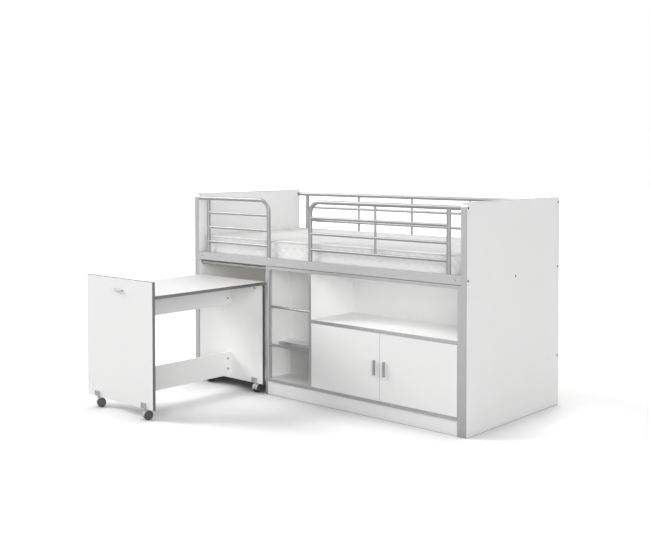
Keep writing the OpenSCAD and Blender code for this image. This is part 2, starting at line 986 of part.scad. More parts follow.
module desk_apron() {
  color(white) at_origin() desk_rail(desktop_z - desk_rail_h);
}

module desk_lower_rail() {
  color(white) at_origin() desk_rail(desk_rail_z);
}

module desk_edging() {
  top = desk_panel_top - edging_t;
  color(silver) at_origin() {
    block([desk_x0, desk_x1], [desk_y0, desk_front_in], [top, desk_panel_top]);
    for (x = [desk_x0, desk_x1 - edging_t]) {
      block([x, x + edging_t], [desk_y0, desk_front_in], [desk_lift, top - strip_gap]);
      block([x, x + edging_t], [desk_front_in + strip_gap, desk_y1], [desktop_z, desktop_top]);
    }
    for (x = [rear_x[0], rear_x[1] - edging_t])
      block([x, x + edging_t], [desk_rear_in, desk_y1], [desk_lift, desktop_z - strip_gap]);
  }
}

module desk_handle() {
  color(silver) at_origin()
    translate([desk_mid_x, desk_y0, desk_handle_z])
      rotate([0, 90, 0])
        pull();
}

// A cam lock with its cross slot, 0.6 mm under the face it is in
module cam_lock_x(y, z) {
  x1 = desk_mid_x + board_t / 2 - 0.6;
  difference() {
    rod_x([x1 - cam_t + 0.8, x1], y, z, cam_r);
    block([x1 - 1.5, x1 + eps], [y - 4.5, y + 4.5], [z - 0.9, z + 0.9]);
    block([x1 - 1.5, x1 + eps], [y - 0.9, y + 0.9], [z - 4.5, z + 4.5]);
  }
}

module cam_lock_y(x, y0, y1) {
  rod_y(x, [y0, y1], desktop_z - cam_in, cam_r);
}

module desk_cams() {
  color(steel) at_origin() {
    for (z = [desk_rail_z, desktop_z - desk_rail_h], c = rail_cams)
      cam_lock_x(c[0], z + c[1]);
    for (x = cam_desk_x) {
      cam_lock_y(x, desk_front_in - cam_t + 0.2, desk_front_in - 0.6);
      cam_lock_y(x, desk_rear_in + 0.6, desk_rear_in + cam_t - 0.2);
    }
  }
}

// ---- Castors

// A plate screwed to a panel's front face, with the stem's socket at its right
module castor_bracket(x, stem, face_y) {
  z = [bracket_z, bracket_z + bracket_h];
  difference() {
    union() {
      block([x - bracket_w / 2, stem], [face_y - bracket_t, face_y], z);
      block([stem - stem_r, stem + stem_r], [face_y - stem_out, face_y], z);
      rod_z(stem, face_y - stem_out, z, socket_r);
    }
    rod_z(stem, face_y - stem_out, [z[0] - eps, z[1] + eps], stem_r + run_fit);
    rod_y(x, [face_y - bracket_t - eps, face_y + eps], screw_z, screw_r + fit);
  }
}

module castor_brackets() {
  color(light_grey) at_origin()
    for (i = [0, 1], face_y = [desk_y0, desk_rear_in])
      castor_bracket(bracket_x[i], stem_x[i], face_y);
}

module castor_screw(x, face_y) {
  rod_y(x, [face_y - bracket_t - 1.8, face_y - bracket_t], screw_z, 2 * screw_r);
  rod_y(x, [face_y - bracket_t - 1, face_y + screw_l], screw_z, screw_r);
}

module castor_screws() {
  color(steel) at_origin()
    for (x = bracket_x, face_y = [desk_y0, desk_rear_in])
      castor_screw(x, face_y);
}

// The fork of a castor about its stem: a web between the wheels, a hood over them, the stem
module castor_fork() {
  difference() {
    union() {
      intersection() {
        union() {
          rod_x([-web_t / 2, web_t / 2], castor_trail, wheel_r, hood_r - eps);
          difference() {
            rod_x([-hood_w / 2, hood_w / 2], castor_trail, wheel_r, hood_r);
            rod_x([-castor_w, castor_w], castor_trail, wheel_r, hood_r - hood_t);
          }
        }
        block([-castor_w, castor_w], [castor_trail - 2 * hood_r, castor_trail + hood_r * 0.75],
              [wheel_r - 4, wheel_r + 2 * hood_r]);
      }
      rod_x([-web_t / 2, web_t / 2], castor_trail, wheel_r, axle_r + 4);
      rod_z(0, 0, [wheel_r + 8, stem_top], stem_r);
    }
    rod_x([-web_t, web_t], castor_trail, wheel_r, axle_r + run_fit);
  }
}

// Twin wheels on their axle, about the castor's stem
module castor_wheels() {
  inner = web_t / 2 + wheel_gap;
  rod_x([-castor_w / 2, castor_w / 2], castor_trail, wheel_r, axle_r);
  for (s = [-1, 1])
    translate([0, castor_trail, wheel_r])
      rotate([0, 90 * s, 0])
        rotate_extrude()
          polygon([
            [axle_r - 0.5, inner], [wheel_r - 1.5, inner], [wheel_r, inner + 1.5],
            [wheel_r, inner + wheel_w - 3], [wheel_r - 2.5, inner + wheel_w - 0.5],
            [wheel_r - 4.5, inner + wheel_w - 0.5], [wheel_r - 5, inner + wheel_w - 1.5],
            [6, inner + wheel_w - 1.5], [5.5, inner + wheel_w], [axle_r - 0.5, inner + wheel_w]
          ]);
}

module castor_fork_front_left() {
  color(light_grey) at_origin()
    translate([stem_x[0], stem_front_y, 0])
      rotate([0, 0, turn_left])
        castor_fork();
}

module castor_fork_front_right() {
  color(light_grey) at_origin()
    translate([stem_x[1], stem_front_y, 0])
      rotate([0, 0, turn_right])
        castor_fork();
}

module castor_fork_rear_left() {
  color(light_grey) at_origin() translate([stem_x[0], stem_rear_y, 0]) castor_fork();
}

module castor_fork_rear_right() {
  color(light_grey) at_origin() translate([stem_x[1], stem_rear_y, 0]) castor_fork();
}

module castor_wheels_front_left() {
  color(dark_grey) at_origin()
    translate([stem_x[0], stem_front_y, 0])
      rotate([0, 0, turn_left])
        castor_wheels();
}

module castor_wheels_front_right() {
  color(dark_grey) at_origin()
    translate([stem_x[1], stem_front_y, 0])
      rotate([0, 0, turn_right])
        castor_wheels();
}

module castor_wheels_rear_left() {
  color(dark_grey) at_origin() translate([stem_x[0], stem_rear_y, 0]) castor_wheels();
}

module castor_wheels_rear_right() {
  color(dark_grey) at_origin() translate([stem_x[1], stem_rear_y, 0]) castor_wheels();
}

end_panel_left();
end_panel_right();
end_edging_left();
end_edging_right();
front_rail();
back_rail();
rear_stretcher();
bay_tube();
slat_ledges();
middle_beam();
slats();
mattress();
guard_left_hoop();
guard_right_hoop();
guard_front_posts();
guard_front_bars();
guard_back_tube();
guard_back_posts();
guard_back_bars();
guard_rods();
cupboard_top();
cupboard_side_left();
cupboard_divider();
cupboard_side_right();
cupboard_floor();
cupboard_plinth();
cupboard_back();
niche_shelf();
step_bay_back();
step_shelf();
step_upright();
step_rungs();
cupboard_edging();
end_bolts();
barrel_nuts();
guard_screws();
door_left();
door_right();
door_handle_left();
door_handle_right();
door_pivots_left();
door_pivots_right();
desk_front_panel();
desk_rear_panel();
desktop();
desk_apron();
desk_lower_rail();
desk_edging();
desk_handle();
desk_cams();
castor_brackets();
castor_screws();
castor_fork_front_left();
castor_fork_front_right();
castor_fork_rear_left();
castor_fork_rear_right();
castor_wheels_front_left();
castor_wheels_front_right();
castor_wheels_rear_left();
castor_wheels_rear_right();
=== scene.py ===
import math

import bpy
import numpy as np
from mathutils import Euler, Matrix, Vector


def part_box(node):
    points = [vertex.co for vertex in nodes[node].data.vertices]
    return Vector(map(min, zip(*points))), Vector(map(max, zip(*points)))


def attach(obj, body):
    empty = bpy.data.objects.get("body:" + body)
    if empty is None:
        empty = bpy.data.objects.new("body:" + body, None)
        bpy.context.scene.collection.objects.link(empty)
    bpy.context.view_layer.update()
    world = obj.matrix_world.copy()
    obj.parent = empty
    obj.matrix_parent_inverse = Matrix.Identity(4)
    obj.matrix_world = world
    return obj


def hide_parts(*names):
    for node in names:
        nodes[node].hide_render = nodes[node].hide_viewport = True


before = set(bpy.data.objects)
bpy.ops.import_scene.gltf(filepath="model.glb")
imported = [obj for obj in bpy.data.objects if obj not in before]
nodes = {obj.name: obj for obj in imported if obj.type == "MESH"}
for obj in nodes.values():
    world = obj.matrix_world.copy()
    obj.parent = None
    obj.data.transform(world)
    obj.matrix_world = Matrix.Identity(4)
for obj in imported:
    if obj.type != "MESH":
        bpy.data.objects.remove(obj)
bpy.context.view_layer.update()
scene = bpy.context.scene
scene.view_settings.view_transform = "Standard"


# ---- The studio: a white floor with painted shade close round the bed, and a pale surround. Soft lights
# stand on four sides and in the niche, and unseen nets dim the foot of the desk's bay and the
# lower step bay. Only reflections show the dark card.

KEY_SIDE = Vector((-0.741, -0.394, 0.545)).normalized()
FILL_SIDE = Vector((0.68, -0.70, 0.15)).normalized()
RIGHT_SIDE = Vector((0.95, -0.10, 0.30)).normalized()
BACK_SIDE = Vector((-0.10, 0.78, 0.62)).normalized()
CARD_SIDE = Vector((0.885, 0.465, 0.0)).normalized()
OVERHEAD = Vector((0.0, 0.0, 1.0))
FLOOR_HALF = 40.0


def larger(tree, one, other):
    """The larger of two values."""
    node = tree.nodes.new("ShaderNodeMath")
    node.operation = "MAXIMUM"
    tree.links.new(one, node.inputs[0])
    tree.links.new(other, node.inputs[1])
    return node.outputs[0]


def make_surround(low, high):
    """The world: strength runs from low at the horizon to high overhead, with the sine of
    the direction's height. Seen straight on or mirrored it is plain white."""
    world = bpy.data.worlds.new("studio_surround")
    scene.world = world
    world.use_nodes = True
    tree = world.node_tree
    tree.nodes.clear()
    direction = tree.nodes.new("ShaderNodeTexCoord")
    cosine = tree.nodes.new("ShaderNodeVectorMath")
    cosine.operation = "DOT_PRODUCT"
    cosine.inputs[1].default_value = OVERHEAD
    strength = tree.nodes.new("ShaderNodeMapRange")
    strength.inputs["To Min"].default_value = low
    strength.inputs["To Max"].default_value = high
    lit = tree.nodes.new("ShaderNodeBackground")
    white = tree.nodes.new("ShaderNodeBackground")
    both = tree.nodes.new("ShaderNodeMixShader")
    out = tree.nodes.new("ShaderNodeOutputWorld")
    path = tree.nodes.new("ShaderNodeLightPath")
    mirrored = larger(tree, path.outputs["Is Glossy Ray"], path.outputs["Is Transmission Ray"])
    tree.links.new(direction.outputs["Generated"], cosine.inputs[0])
    tree.links.new(cosine.outputs["Value"], strength.inputs["Value"])
    tree.links.new(strength.outputs["Result"], lit.inputs["Strength"])
    lit.inputs["Color"].default_value = (1, 1, 1, 1)
    white.inputs["Color"].default_value = (1, 1, 1, 1)
    tree.links.new(larger(tree, path.outputs["Is Camera Ray"], mirrored), both.inputs["Fac"])
    tree.links.new(lit.outputs[0], both.inputs[1])
    tree.links.new(white.outputs[0], both.inputs[2])
    tree.links.new(both.outputs[0], out.inputs["Surface"])


def square(name, half_x, half_y):
    """A flat rectangle in its own x and y, as a stage object."""
    mesh = bpy.data.meshes.new(name)
    corners = [
        (-half_x, -half_y, 0), (half_x, -half_y, 0), (half_x, half_y, 0), (-half_x, half_y, 0)]
    mesh.from_pydata(corners, [], [(0, 1, 2, 3)])
    obj = bpy.data.objects.new(name, mesh)
    scene.collection.objects.link(obj)
    material = bpy.data.materials.new(name)
    material.use_nodes = True
    material.node_tree.nodes.clear()
    mesh.materials.append(material)
    return obj, material.node_tree


def make_floor(grey, seen, mirrored, painted_shade_reach, painted_shade_depth, drop):
    """A matt floor: grey for the light that it throws back, and lighter where it is seen or
    mirrored. Within a given reach of the bed its colour is darkened by a given depth times the hidden
    share of the sky: a painted shade."""
    floor, tree = square("studio_floor", FLOOR_HALF, FLOOR_HALF)
    floor.location.z = -drop
    path = tree.nodes.new("ShaderNodeLightPath")
    glossy = larger(tree, path.outputs["Is Glossy Ray"], path.outputs["Is Transmission Ray"])
    shade = None
    for ray, lift in ((path.outputs["Is Camera Ray"], seen - grey), (glossy, mirrored - grey)):
        step = tree.nodes.new("ShaderNodeMath")
        step.operation = "MULTIPLY_ADD"
        tree.links.new(ray, step.inputs[0])
        step.inputs[1].default_value = lift
        if shade is None:
            step.inputs[2].default_value = grey
        else:
            tree.links.new(shade, step.inputs[2])
        shade = step.outputs[0]
    # Painted shade: the floor's colour is darkened where the bed hides the sky.
    open_share = tree.nodes.new("ShaderNodeAmbientOcclusion")
    open_share.samples = 16
    open_share.inputs["Distance"].default_value = painted_shade_reach
    painted_floor_shade = tree.nodes.new("ShaderNodeMapRange")
    painted_floor_shade.inputs["To Min"].default_value = 1 - painted_shade_depth
    product = tree.nodes.new("ShaderNodeMath")
    product.operation = "MULTIPLY"
    matt = tree.nodes.new("ShaderNodeBsdfDiffuse")
    out = tree.nodes.new("ShaderNodeOutputMaterial")
    tree.links.new(open_share.outputs["AO"], painted_floor_shade.inputs["Value"])
    tree.links.new(painted_floor_shade.outputs["Result"], product.inputs[0])
    tree.links.new(shade, product.inputs[1])
    tree.links.new(product.outputs[0], matt.inputs["Color"])
    tree.links.new(matt.outputs[0], out.inputs["Surface"])


def make_dark_card(distance, half_width, half_height, grey):
    """A dark upright card on the card side, which only reflections show."""
    card, tree = square("dark_card", half_width, half_height)
    card.location = CARD_SIDE * distance
    card.rotation_euler = (-CARD_SIDE).to_track_quat("Z", "Y").to_euler()
    card.visible_camera = card.visible_diffuse = card.visible_shadow = False
    card.visible_transmission = False
    glow = tree.nodes.new("ShaderNodeEmission")
    glow.inputs["Strength"].default_value = grey
    out = tree.nodes.new("ShaderNodeOutputMaterial")
    tree.links.new(glow.outputs[0], out.inputs["Surface"])


def make_scrim(name, middle, half_width, half_height, facing, stopped):
    """A black net with facing as its normal, which stops this share of the light that falls
    on it and is never seen itself."""
    scrim, tree = square(name, half_width, half_height)
    scrim.location = middle
    scrim.rotation_euler = Vector(facing).to_track_quat("Z", "Y").to_euler()
    scrim.visible_camera = scrim.visible_glossy = scrim.visible_transmission = False
    black = tree.nodes.new("ShaderNodeBsdfDiffuse")
    black.inputs["Color"].default_value = (0.01, 0.01, 0.01, 1)
    net = tree.nodes.new("ShaderNodeMixShader")
    net.inputs["Fac"].default_value = stopped
    out = tree.nodes.new("ShaderNodeOutputMaterial")
    tree.links.new(tree.nodes.new("ShaderNodeBsdfTransparent").outputs[0], net.inputs[1])
    tree.links.new(black.outputs[0], net.inputs[2])
    tree.links.new(net.outputs[0], out.inputs["Surface"])


def make_softbox(name, side, strength, size_deg):
    """A soft disc of light, far off on one side and size_deg wide."""
    lamp = bpy.data.lights.new(name, "SUN")
    lamp.energy = strength
    lamp.angle = math.radians(size_deg)
    softbox = bpy.data.objects.new(name, lamp)
    scene.collection.objects.link(softbox)
    softbox.rotation_euler = side.to_track_quat("Z", "Y").to_euler()


def make_strip(name, middle, length, width, facing, strength):
    """A strip of light along x under the cupboard's top, itself never seen."""
    lamp = bpy.data.lights.new(name, "AREA")
    lamp.shape = "RECTANGLE"
    lamp.size = length
    lamp.size_y = width
    lamp.energy = strength
    strip = bpy.data.objects.new(name, lamp)
    scene.collection.objects.link(strip)
    strip.location = middle
    strip.rotation_euler = (-Vector(facing)).to_track_quat("Z", "Y").to_euler()
    strip.visible_camera = strip.visible_glossy = strip.visible_transmission = False


make_surround(0.15, 0.17)
make_floor(grey=0.55, seen=1.30, mirrored=0.90, painted_shade_reach=0.30, painted_shade_depth=0.80, drop=0.002)
make_dark_card(distance=7.0, half_width=9.0, half_height=3.0, grey=0.08)
make_scrim("bay_scrim_floor", (-0.697, 0.100, 0.052), 0.300, 0.130, (0, 0, 1), 0.80)
make_scrim("step_scrim", (-0.210, 0.155, 0.193), 0.164, 0.094, (0, 1, 0), 0.45)
make_softbox("key_softbox", KEY_SIDE, 2.12, 30)
make_softbox("fill_softbox", FILL_SIDE, 1.98, 50)
make_softbox("right_softbox", RIGHT_SIDE, 0.62, 50)
make_softbox("back_softbox", BACK_SIDE, 1.80, 60)
make_strip("niche_strip", (0.520, -0.020, 0.728), 0.72, 0.05, (0.0, 0.70, -0.714), 0.45)


# ---- The camera: at a standing child's eye height, off the bed's right front corner.
# Its place and lens were worked out from the photograph's vanishing points.

EYE = Vector((3.7912, -4.25886, 1.4237))
TURN = 0.7456
DIP = 0.0325
TILT = -0.0013

lens = bpy.data.cameras.new("camera")
lens.sensor_width = 36.0
lens.lens = 54.67
lens.shift_x = 0.0385
lens.shift_y = -0.1306
lens.clip_end = 200.0
camera = bpy.data.objects.new("camera", lens)
scene.collection.objects.link(camera)
camera.matrix_world = (
    Matrix.Translation(EYE)
    @ Euler((math.pi / 2 - DIP, 0, TURN)).to_matrix().to_4x4()
    @ Matrix.Rotation(TILT, 4, "Z")
)
scene.camera = camera


# ---- End panels: thick chipboard with a white melamine face, full height at both ends.
# The face has the fine pearl grain of pressed melamine paper.

WHITE = (0.87, 0.87, 0.865)


def blank_finish(name, roughness, metallic=0.0):
    """A new material with one shader, and its node tree."""
    material = bpy.data.materials.new(name)
    material.use_nodes = True
    shader = material.node_tree.nodes["Principled BSDF"]
    shader.inputs["Roughness"].default_value = roughness
    shader.inputs["Metallic"].default_value = metallic
    return material, material.node_tree, shader


def grain(tree, scale, stretch=(1, 1, 1), detail=3.0):
    """Noise on the piece's own coordinates; stretch lengthens the grains along an axis."""
    place = tree.nodes.new("ShaderNodeTexCoord")
    turned = tree.nodes.new("ShaderNodeMapping")
    turned.inputs["Scale"].default_value = [1 / s for s in stretch]
    noise = tree.nodes.new("ShaderNodeTexNoise")
    noise.inputs["Scale"].default_value = scale
    noise.inputs["Detail"].default_value = detail
    tree.links.new(place.outputs["Object"], turned.inputs["Vector"])
    tree.links.new(turned.outputs["Vector"], noise.inputs["Vector"])
    return noise.outputs["Fac"]


def tone(tree, shader, value, colour, spread):
    """The base colour: value runs it from colour less spread to colour plus spread."""
    ramp = tree.nodes.new("ShaderNodeValToRGB")
    ramp.color_ramp.elements[0].position = 0.3
    ramp.color_ramp.elements[1].position = 0.7
    for stop, way in zip(ramp.color_ramp.elements, (-1, 1)):
        stop.color = [max(0.0, c + way * spread) for c in colour] + [1.0]
    tree.links.new(value, ramp.inputs["Fac"])
    tree.links.new(ramp.outputs["Color"], shader.inputs["Base Color"])


def relief(tree, shader, value, depth):
    """Bump from value, depth in metres."""
    bump = tree.nodes.new("ShaderNodeBump")
    bump.inputs["Distance"].default_value = depth
    tree.links.new(value, bump.inputs["Height"])
    tree.links.new(bump.outputs["Normal"], shader.inputs["Normal"])


def melamine(name, colour=WHITE):
    """White melamine: an even satin face, clouded a little, with a pearl grain."""
    material, tree, shader = blank_finish(name, 0.42)
    tone(tree, shader, grain(tree, 6.0), colour, 0.006)
    relief(tree, shader, grain(tree, 1400.0), 0.00006)
    return material


def dress(material, *names):
    """Puts a finish on CAD nodes."""
    for name in names:
        mesh = nodes[name].data
        mesh.materials.clear()
        mesh.materials.append(material)


board_white = melamine("white_melamine")
dress(board_white, "end_panel_left", "end_panel_right")


# ---- Edging strips: thin silver-grey plastic, ironed on to the boards' front edges.
# The same strip runs round both end panels, the cupboard's boards and the desk's. On the desk its
# colour is darker, as painted shade.

SILVER_GREY = (0.50, 0.50, 0.505)
SHADED_EDGING_GREY = (0.25, 0.25, 0.255)


def edging_plastic(name, colour):
    """Satin silver plastic with fine lengthwise and crosswise streaks."""
    material, tree, shader = blank_finish(name, 0.30, 0.85)
    tone(tree, shader, grain(tree, 90.0, (1, 1, 6)), colour, 0.02)
    relief(tree, shader, grain(tree, 900.0), 0.00005)
    return material


dress(
    edging_plastic("silver_edging", SILVER_GREY),
    "end_edging_left", "end_edging_right", "cupboard_edging",
)
# The desk's edging is the same silver strip, coloured darker as painted shade.
dress(edging_plastic("silver_edging_painted_shade", SHADED_EDGING_GREY), "desk_edging")


# ---- Side rails and rear stretcher: boards wrapped in a silver-grey foil.
# They are bolted between the end panels, and the front one shows under the guards.

def foil(name):
    """Silver-grey foil: faint metallic streaks along the rail."""
    material, tree, shader = blank_finish(name, 0.40, 0.55)
    tone(tree, shader, grain(tree, 60.0, (14, 1, 1)), (0.53, 0.53, 0.535), 0.02)
    relief(tree, shader, grain(tree, 1100.0), 0.00005)
    return material


dress(foil("silver_foil"), "front_rail", "back_rail", "rear_stretcher")


# ---- Slats, ledges and middle beam: planed softwood, with the grain along each piece.
# The ledges lie along the rails and carry the slats' ends.

def softwood(name, along):
    """Planed pine: rings of late wood drawn out along the piece, with fine fibres."""
    material, tree, shader = blank_finish(name, 0.55)
    stretch = (22, 1, 1) if along == "x" else (1, 22, 1)
    rings = tree.nodes.new("ShaderNodeTexWave")
    rings.wave_type = "RINGS"
    rings.rings_direction = "X" if along == "x" else "Y"
    rings.inputs["Scale"].default_value = 9.0
    rings.inputs["Distortion"].default_value = 5.0
    rings.inputs["Detail"].default_value = 2.0
    place = tree.nodes.new("ShaderNodeTexCoord")
    drawn = tree.nodes.new("ShaderNodeMapping")
    drawn.inputs["Scale"].default_value = [1 / s for s in stretch]
    tree.links.new(place.outputs["Object"], drawn.inputs["Vector"])
    tree.links.new(drawn.outputs["Vector"], rings.inputs["Vector"])
    tone(tree, shader, rings.outputs["Fac"], (0.62, 0.44, 0.25), 0.06)
    relief(tree, shader, grain(tree, 500.0, stretch), 0.0001)
    return material


dress(softwood("pine_across", "y"), "slats")
dress(softwood("pine_along", "x"), "slat_ledges", "middle_beam")


# ---- Guards, steps and the tube over the desk's bay: round steel tube, powder-coated silver.
# Bars and rods are welded between the posts, and the posts are screwed to the rails.

def powder_coat(name):
    """Silver powder coat: fine sparkle in the tone and an orange-peel relief."""
    material, tree, shader = blank_finish(name, 0.34, 0.42)
    tone(tree, shader, grain(tree, 2500.0), (0.34, 0.34, 0.345), 0.04)
    relief(tree, shader, grain(tree, 700.0), 0.0001)
    return material


dress(
    powder_coat("silver_powder_coat"),
    "guard_left_hoop", "guard_right_hoop", "guard_front_posts", "guard_front_bars",
    "guard_back_tube", "guard_back_posts", "guard_back_bars", "guard_rods",
    "step_upright", "step_rungs", "bay_tube",
)


# ---- Cupboard: white melamine boards round a niche, a step bay and a two-door cupboard.
# Thin coated fibreboard closes it at the back.

dress(
    board_white,
    "cupboard_top", "cupboard_side_left", "cupboard_divider", "cupboard_side_right",
    "cupboard_floor", "cupboard_plinth", "niche_shelf", "step_shelf",
)
dress(melamine("white_back_board", (0.80, 0.80, 0.79)), "cupboard_back", "step_bay_back")


# ---- Doors: two white melamine doors, each turning on a pin at its top and one at its foot.
# Each has a satin metal pull on its face.

def brushed(name, colour, along):
    """Satin metal with fine brush lines along the piece."""
    material, tree, shader = blank_finish(name, 0.34, 0.85)
    stretch = {"x": (12, 1, 1), "z": (1, 1, 12)}[along]
    tone(tree, shader, grain(tree, 900.0, stretch), colour, 0.03)
    relief(tree, shader, grain(tree, 1500.0, stretch), 0.00004)
    return material


PULL_GREY = (0.42, 0.42, 0.43)
dress(board_white, "door_left", "door_right")
dress(brushed("brushed_door_pulls", PULL_GREY, "z"), "door_handle_left", "door_handle_right")


# ---- Fasteners: steel bolts, barrel nuts, screws, pins and cam locks.
# Bolt and guard screw heads are blackened, and the rest is plain zinc plate.

def zinc(name, colour, metallic):
    """Zinc plating: grey metal with a cloudy tone."""
    material, tree, shader = blank_finish(name, 0.45, metallic)
    tone(tree, shader, grain(tree, 300.0), colour, 0.04)
    relief(tree, shader, grain(tree, 1200.0), 0.00005)
    return material


dress(zinc("blackened_zinc_plate", (0.045, 0.045, 0.05), 0.5), "end_bolts", "guard_screws")
dress(
    zinc("zinc_plate", (0.40, 0.40, 0.41), 0.9),
    "barrel_nuts", "desk_cams", "castor_screws", "door_pivots_left", "door_pivots_right",
)


# ---- Desk: white melamine boards with the silver edging, coloured darker there as painted shade, held together by cams.
# It stands on its own castors, rolled out in front of its bay.

dress(
    board_white,
    "desk_front_panel", "desk_rear_panel", "desktop", "desk_apron", "desk_lower_rail",
)
dress(brushed("brushed_desk_pull", PULL_GREY, "x"), "desk_handle")


# ---- Castors: a light grey plastic bracket and fork, and twin wheels with a grey disc
# inside a nearly black tread.

WHEEL_TURNS = {"front_left": -32.0, "front_right": -20.0, "rear_left": 0.0, "rear_right": 0.0}
DISC_R, TREAD_R = 0.0190, 0.0205


def moulded(name, colour, roughness):
    """Moulded plastic with a fine spark-eroded texture."""
    material, tree, shader = blank_finish(name, roughness)
    tone(tree, shader, grain(tree, 700.0), colour, 0.01)
    relief(tree, shader, grain(tree, 1600.0), 0.00008)
    return material


def wheel_plastic(name, axle, turn):
    """Grey inside the disc's radius and nearly black from the tread's, by distance from the
    axle's line."""
    material, tree, shader = blank_finish(name, 0.42)
    place = tree.nodes.new("ShaderNodeTexCoord")
    centred = tree.nodes.new("ShaderNodeMapping")
    centred.vector_type = "TEXTURE"
    centred.inputs["Location"].default_value = axle
    centred.inputs["Rotation"].default_value = (0, 0, math.radians(turn))
    flat = tree.nodes.new("ShaderNodeVectorMath")
    flat.operation = "MULTIPLY"
    flat.inputs[1].default_value = (0, 1, 1)
    radius = tree.nodes.new("ShaderNodeVectorMath")
    radius.operation = "LENGTH"
    ramp = tree.nodes.new("ShaderNodeMapRange")
    ramp.inputs["From Min"].default_value = DISC_R
    ramp.inputs["From Max"].default_value = TREAD_R
    both = tree.nodes.new("ShaderNodeMix")
    both.data_type = "RGBA"
    both.inputs["A"].default_value = (0.085, 0.080, 0.085, 1)
    both.inputs["B"].default_value = (0.018, 0.017, 0.018, 1)
    tree.links.new(place.outputs["Object"], centred.inputs["Vector"])
    tree.links.new(centred.outputs["Vector"], flat.inputs[0])
    tree.links.new(flat.outputs["Vector"], radius.inputs[0])
    tree.links.new(radius.outputs["Value"], ramp.inputs["Value"])
    tree.links.new(ramp.outputs["Result"], both.inputs["Factor"])
    tree.links.new(both.outputs["Result"], shader.inputs["Base Color"])
    relief(tree, shader, grain(tree, 1200.0), 0.00008)
    return material


dress(
    moulded("grey_castor_plastic", (0.46, 0.46, 0.46), 0.4),
    *(f"castor_fork_{corner}" for corner in WHEEL_TURNS),
)
dress(moulded("grey_bracket_plastic", (0.40, 0.40, 0.40), 0.5), "castor_brackets")
for corner, turn in WHEEL_TURNS.items():
    wheel = f"castor_wheels_{corner}"
    low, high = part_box(wheel)
    dress(wheel_plastic(f"tread_{corner}", (Vector(low) + Vector(high)) / 2, turn), wheel)


# ---- Mattress: a foam core in a quilted white damask cover, with a piping round each edge.
# The top is stitched in waving rows and the border in diamonds. It lies loose on the slats.

MATTRESS_LOW, MATTRESS_HIGH = (np.array(corner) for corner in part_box("mattress"))
MATTRESS_MID = (MATTRESS_LOW + MATTRESS_HIGH) / 2
HALF_LENGTH, HALF_WIDTH = ((MATTRESS_HIGH - MATTRESS_LOW) / 2)[:2]
CORNER_R = 0.060
LOWER_SEAM, UPPER_SEAM = 0.008, 0.1235
CROWN = 0.0165
SEAM_INSET = 0.0055
COLUMNS, ROWS, TIERS = 166, 76, 10
ROW_PITCH, ROW_SWING, ROW_WAVE = 0.0820, 0.021, 0.249
DIAMOND_WIDTH = 0.062
SEAM_SLACK = 0.0005
SHOULDER, CROWN_REACH = 0.012, 0.40
BORDER_HOLLOW = 0.0045
FOOT_INSET, FOOT_HEIGHT, UNDER_INSET = 0.012, 0.003, 0.030
HELD_NEAR, HALF_HELD_NEAR = 0.0055, 0.0105
FILL_FRAMES = 20
PIPING_LONG, PIPING_SHORT, PIPING_ROUND = 240, 120, 12


def outline(s, t, inset):
    """Shares s and t of a rectangle drawn in by inset. In its corners the square of the corner
    radius is bent to a quarter disc: p to p * sqrt(1 - q * q / 2), and q likewise."""
    a, b, r = HALF_LENGTH - inset, HALF_WIDTH - inset, CORNER_R - inset
    x, y = np.abs(s) * a, np.abs(t) * b
    p, q = np.clip((x - a + r) / r, 0, 1), np.clip((y - b + r) / r, 0, 1)
    x = np.minimum(x, a - r) + r * p * np.sqrt(1 - q * q / 2)
    y = np.minimum(y, b - r) + r * q * np.sqrt(1 - p * p / 2)
    return np.sign(s) * x, np.sign(t) * y


def round_the_outline(x, y):
    """Distance round the outline to a point: the corner radius times the angle of the point's
    normal, plus the way made along the straight sides. Also gives the whole way round."""
    a, b = HALF_LENGTH - CORNER_R, HALF_WIDTH - CORNER_R
    u, v = np.clip(x, -a, a), np.clip(y, -b, b)
    angle = (np.arctan2(y - v, x - u) + math.pi / 2) % (2 * math.pi)
    side = (np.round(angle / (math.pi / 2)) % 4).astype(int)
    made = np.choose(side, [u + a, 2 * a + v + b, 3 * a + 2 * b - u, 4 * a + 3 * b - v])
    made = made + np.where(angle > 1.75 * math.pi, 4 * a + 4 * b, 0)
    return CORNER_R * angle + made, 4 * (a + b) + 2 * math.pi * CORNER_R


def to_top_stitches(x, y):
    """Distance to the nearest waving row, y = k * pitch +- swing * sin(2 pi x / wave), where
    the sign changes from row to row."""
    k = np.floor(y / ROW_PITCH)[None, :] + np.array([-1, 0, 1, 2])[:, None]
    phase = 2 * math.pi * x / ROW_WAVE
    off = np.abs(y - k * ROW_PITCH - (1 - 2 * (k % 2)) * ROW_SWING * np.sin(phase))
    return off.min(axis=0) / np.hypot(1, ROW_SWING * 2 * math.pi / ROW_WAVE * np.cos(phase))


def to_border_stitches(x, y, z):
    """Distance to the nearest line of either slanting family, round / width +- height / tall,
    at whole numbers. The width is fitted to go evenly round the border."""
    way, whole = round_the_outline(x, y)
    wide = whole / round(whole / DIAMOND_WIDTH)
    tall = (UPPER_SEAM - LOWER_SEAM) / 2
    rising, falling = way / wide + (z - LOWER_SEAM) / tall, way / wide - (z - LOWER_SEAM) / tall
    off = np.minimum(np.abs(rising - np.round(rising)), np.abs(falling - np.round(falling)))
    return off * wide * tall / math.hypot(wide, tall)


def to_stitches(x, y, z):
    """Distance to the nearest stitch: of the waving rows on top, of the diamonds below."""
    on_top = z > UPPER_SEAM + SEAM_SLACK
    return np.where(on_top, to_top_stitches(x, y), to_border_stitches(x, y, z))


